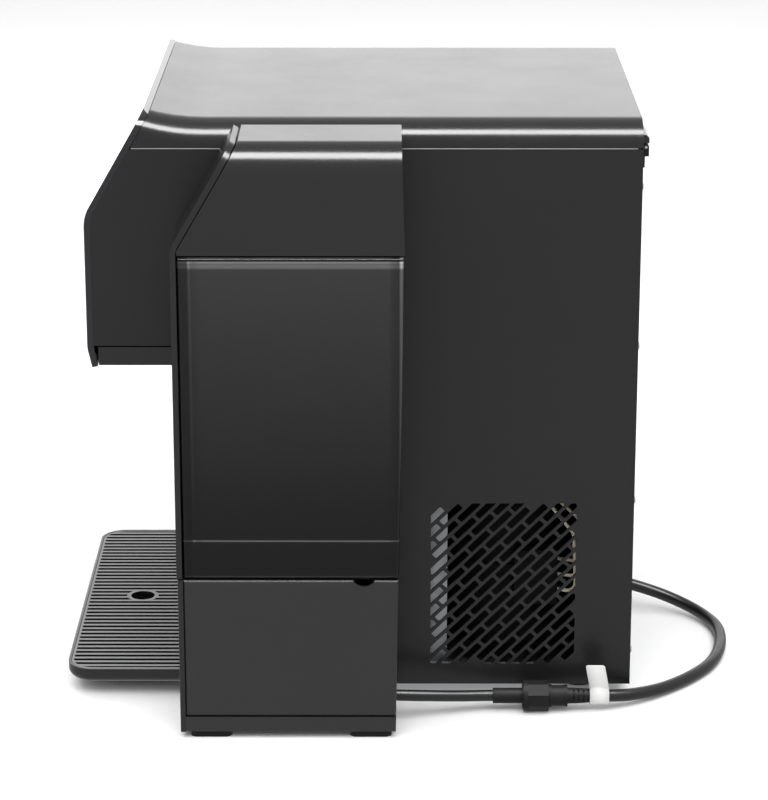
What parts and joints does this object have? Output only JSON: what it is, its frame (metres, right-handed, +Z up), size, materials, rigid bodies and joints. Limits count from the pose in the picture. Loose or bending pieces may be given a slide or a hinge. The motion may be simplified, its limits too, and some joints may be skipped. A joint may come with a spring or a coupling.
{
  "type": "countertop ice maker",
  "caption": "Countertop nugget ice maker with a slanted dispensing head over a slatted drip tray, a lift-off side water tank and a coupled tank line.",
  "frame": {"origin": "on the worktop below the middle of the appliance, machine and side tank together, without the tank line", "axes": "+Z up, -Y is the front with the ice mouth, +X is the side with the water tank"},
  "size_m": [0.3814, 0.5027, 0.4414],
  "materials": {
    "satin_black_steel": "satin powder coat",
    "gloss_black_panel": "polished",
    "satin_black_plastic": "satin moulded",
    "tank_base_plastic": "satin moulded",
    "smoked_clear_plastic": "clear smoked",
    "grid_grey": "satin",
    "black_rubber": "matte",
    "black_vinyl": "satin",
    "white_plastic": "moulded",
    "stainless_steel": "brushed",
    "galvanised_steel": "spangled zinc",
    "copper": "drawn tube",
    "cream_wire": "soft vinyl",
    "board_green": "solder mask",
    "motor_black": "painted",
    "grey_plastic": "moulded",
    "fin_aluminium": "bare fin",
    "label_paper": "paper",
    "display_glass": "polished"
  },
  "bodies": {
    "machine": {"agitator_motor": "motor_black", "base_pan": "galvanised_steel", "base_strip": "satin_black_plastic", "chute": "white_plastic", "circulation_pump": "motor_black", "compressor": "motor_black", "compressor_mounts": "black_rubber", "condenser": "fin_aluminium", "control_board": "board_green", "coupling_body": "black_rubber", "display_module": "display_glass", "drain_fitting": "grey_plastic", "duct_plate": "galvanised_steel", "evaporator": "stainless_steel", "fan_motor": "motor_black", "fan_shroud": "grey_plastic", "front_panel": "gloss_black_panel", "gear_motor": "motor_black", "head_bottom_cover": "satin_black_plastic", "hinge_brackets": "black_rubber", "hinge_pins": "stainless_steel", "hose_gland": "black_rubber", "ice_bin": "white_plastic", "ice_elbow": "white_plastic", "left_side_panel": "satin_black_steel", "line_label": "label_paper", "main_hose": "black_vinyl", "power_inlet": "satin_black_plastic", "rear_panel": "satin_black_steel", "recess_panel": "satin_black_plastic", "refrigerant_tubes": "copper", "right_side_panel": "satin_black_steel", "rubber_feet": "black_rubber", "strain_relief": "black_rubber", "sump": "white_plastic", "tail_gland": "black_rubber", "tail_sleeve": "black_rubber", "tank_base": "tank_base_plastic", "tank_base_bottom": "tank_base_plastic", "tank_tail": "black_vinyl", "top_deck": "grey_plastic", "transfer_pump": "motor_black", "wire_harness": "cream_wire"},
    "cover": {"top_cover": "satin_black_plastic", "hinge_leaves": "satin_black_plastic"},
    "agitator": {"bin_agitator": "stainless_steel"},
    "freezing_auger": {"ice_auger": "stainless_steel"},
    "fan": {"fan_blades": "satin_black_plastic"},
    "lever": {"dispense_lever": "satin_black_plastic"},
    "flap": {"chute_flap": "grey_plastic"},
    "switch": {"rocker_switch": "satin_black_plastic"},
    "plug": {"drain_plug": "satin_black_plastic"},
    "tray": {"drip_tray": "satin_black_plastic", "tray_feet": "black_rubber"},
    "grid": {"tray_grid": "grid_grey"},
    "tank": {"reservoir": "smoked_clear_plastic", "reservoir_strip": "satin_black_plastic"},
    "valve": {"outlet_valve": "grey_plastic"},
    "cap": {"tank_cap": "satin_black_plastic"},
    "nut": {"coupling_nut": "black_rubber"}
  },
  "joints": [
    {"name": "cover_hinge", "type": "hinge", "parent": "machine", "child": "cover", "pos_m": [-0.0377, 0.20925, 0.4162], "axis": [-1, 0, 0], "range_deg": [0, 75]},
    {"name": "agitator_spin", "type": "hinge", "parent": "machine", "child": "agitator", "pos_m": [-0.0377, -0.11, 0.3146], "axis": [0, 1, 0], "continuous": true},
    {"name": "auger_spin", "type": "hinge", "parent": "machine", "child": "freezing_auger", "pos_m": [-0.0997, 0.165, 0.0895], "axis": [0, 0, 1], "continuous": true},
    {"name": "fan_spin", "type": "hinge", "parent": "machine", "child": "fan", "pos_m": [-0.1367, 0.065, 0.0875], "axis": [1, 0, 0], "continuous": true},
    {"name": "lever_push", "type": "hinge", "parent": "machine", "child": "lever", "pos_m": [-0.0377, -0.1195, 0.2661], "axis": [1, 0, 0], "range_deg": [0, 8], "stiffness_Nm_per_rad": 0.3},
    {"name": "flap_swing", "type": "hinge", "parent": "machine", "child": "flap", "pos_m": [-0.0377, -0.1566, 0.2696], "axis": [-1, 0, 0], "range_deg": [0, 70]},
    {"name": "switch_rock", "type": "hinge", "parent": "machine", "child": "switch", "pos_m": [-0.1387, 0.202, 0.073], "axis": [1, 0, 0], "range_deg": [0, 12]},
    {"name": "plug_unscrew", "type": "slide", "parent": "machine", "child": "plug", "axis": [0, 1, 0], "range_m": [0, 0.03]},
    {"name": "tray_slide", "type": "slide", "parent": "machine", "child": "tray", "axis": [0, -1, 0], "range_m": [0, 0.12]},
    {"name": "grid_lift", "type": "slide", "parent": "tray", "child": "grid", "axis": [0, 0, 1], "range_m": [0, 0.05]},
    {"name": "tank_lift", "type": "slide", "parent": "machine", "child": "tank", "axis": [0, 0, 1], "range_m": [0, 0.15]},
    {"name": "valve_travel", "type": "slide", "parent": "tank", "child": "valve", "axis": [0, 0, 1], "range_m": [0, 0.003], "stiffness_N_per_m": 150},
    {"name": "cap_lift", "type": "slide", "parent": "tank", "child": "cap", "axis": [0, 0.503, 0.8643], "range_m": [0, 0.12]},
    {"name": "nut_turn", "type": "hinge", "parent": "machine", "child": "nut", "pos_m": [0.139, 0.1263, 0.0116], "axis": [0, 1, 0], "continuous": true}
  ],
  "couplings": [
    {"joint": "flap_swing", "follows": "lever_push", "ratio": 8.75}
  ]
}
